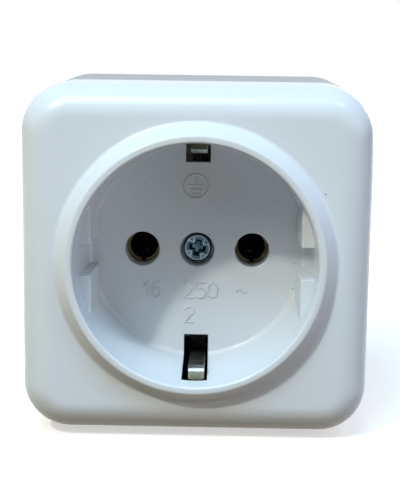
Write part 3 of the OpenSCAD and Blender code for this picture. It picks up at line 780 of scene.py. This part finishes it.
# %% Earth symbol
symbol_x, symbol_z = -0.33, 10.97
ring_line = [at(symbol_x + 2.08 * math.cos(a * math.pi / 24), floor_h, symbol_z + 2.08 * math.sin(a * math.pi / 24))
             for a in range(49)]
marks.append(raised_line("symbol_ring", ring_line, 0.4))
for z, low, high in ((11.18, -1.73, 1.15), (10.45, -1.36, 0.81), (9.65, -1.02, 0.56)):
    marks.append(raised_line("bar", [at(low, floor_h, z), at(high, floor_h, z)], 0.36))
marks.append(raised_line("stem", [at(-0.36, floor_h, 12.7), at(-0.36, floor_h, 11.2)], 0.36))
marks = join_all("floor_marks", marks)
dress(marks, cover_white, "cover", "cover_plastic")
print("floor marks:", len(marks.data.polygons), "faces")

# %% [markdown]
# ## Dirt
# A few dark specks lie on the cover where the real one has them. Each is a low crumb, turned like a
# button and squeezed a little to one side.

# %% Specks
speck_dirt = moulded_plastic("speck_dirt", (0.05, 0.045, 0.04), (0.10, 0.09, 0.07), 0.7, 2500, 0.5, 0.2)
specks = []
for x, height, z, radius in ((20.4, front_h, 11.76, 0.11), (2.08, floor_h, 2.66, 0.1), (-9.12, floor_h, 11.49, 0.07),
                             (-10.7, floor_h, 9.29, 0.07), (16.7, floor_h, -6.67, 0.1), (16.88, floor_h, -2.19, 0.1)):
    speck = turned("speck", [(0, height - 0.05, 0), (radius, height - 0.05, 0), (radius * 0.9, height + 0.03, 0),
                             (radius * 0.4, height + 0.06, 0), (0, height + 0.06, 0)], (x, z), 12)
    take(speck, "EDIT")
    bpy.ops.mesh.select_all(action="SELECT")
    bpy.ops.transform.resize(value=(1.3, 1, 0.8), center_override=at(x, height, z))
    let_go()
    specks.append(speck)
specks = join_all("specks", specks)
dress(specks, speck_dirt, "cover", "cover_plastic")

# %% Inner parts that keep their solids
kept = {
    carrier_black: ["contact_carrier"],
    # The contact sleeves' very dark brass is painted shade.
    sleeve_brass_painted_shade: ["left_contact", "right_contact", "contact_rivets", "cover_nut"],
    spring_nickel: ["left_contact_clip", "right_contact_clip"],
    # The earth rivets get the dark spring copy: painted shade.
    spring_painted_shade: ["earth_rivets"],
    # The earth strap's dark steel is painted shade.
    strap_steel_painted_shade: ["earth_strap"],
    clamp_steel: ["left_clamp_washer", "right_clamp_washer", "earth_clamp_washer",
                  "left_terminal_screw", "right_terminal_screw", "earth_terminal_screw", "carrier_screws"],
}
for material, names in kept.items():
    for name in names:
        solid = nodes[name]
        solid.data.materials.clear()
        solid.data.materials.append(material)
print("solids kept:", sum(len(names) for names in kept.values()))

# %% [markdown]
# ## Floor
# The socket stands on a plain pale floor. Where the camera or a reflection sees it, it is nearly white and
# only keeps the shade. To the light it is a darker brown, as the bench under the real one is, so it sends
# little light back up into the lower fillet.

# %% Floor
let_go()
bpy.ops.mesh.primitive_plane_add(size=4, location=(0, 0, cad_low.z - 0.1 * MM))
floor = settle(bpy.context.object, "floor")

# %% Floor finish
def pale_ground(name, shade, seen):
    """Pale floor: one colour for the light that it throws back, another where it is seen, whiter far out."""
    material = bpy.data.materials.new(name)
    material.use_nodes = True
    tree = material.node_tree
    skin = tree.nodes["Principled BSDF"]
    tint = tree.nodes.new("ShaderNodeMix")
    glow = tree.nodes.new("ShaderNodeMath")
    rays = seen_rays(tree)
    tint.data_type = "RGBA"
    tint.inputs["A"].default_value = (*shade, 1)
    tint.inputs["B"].default_value = (*seen, 1)
    place = tree.nodes.new("ShaderNodeTexCoord")
    reach = tree.nodes.new("ShaderNodeVectorMath")
    fade = tree.nodes.new("ShaderNodeMapRange")
    reach.operation = "LENGTH"
    fade.inputs["From Min"].default_value = 0.06
    fade.inputs["From Max"].default_value = 0.2
    fade.inputs["To Min"].default_value = 0.55
    fade.inputs["To Max"].default_value = 1.0
    tree.links.new(place.outputs["Object"], reach.inputs[0])
    tree.links.new(reach.outputs["Value"], fade.inputs["Value"])
    glow.operation = "MULTIPLY"
    tree.links.new(fade.outputs[0], glow.inputs[1])
    skin.inputs["Roughness"].default_value = 0.9
    skin.inputs["Specular IOR Level"].default_value = 0.0
    skin.inputs["Emission Color"].default_value = (1, 1, 1, 1)
    tree.links.new(rays, tint.inputs["Factor"])
    tree.links.new(tint.outputs["Result"], skin.inputs["Base Color"])
    tree.links.new(rays, glow.inputs[0])
    tree.links.new(glow.outputs[0], skin.inputs["Emission Strength"])
    return material

floor.data.materials.append(pale_ground("pale_floor", (0.17, 0.11, 0.06), (0.72, 0.70, 0.68)))
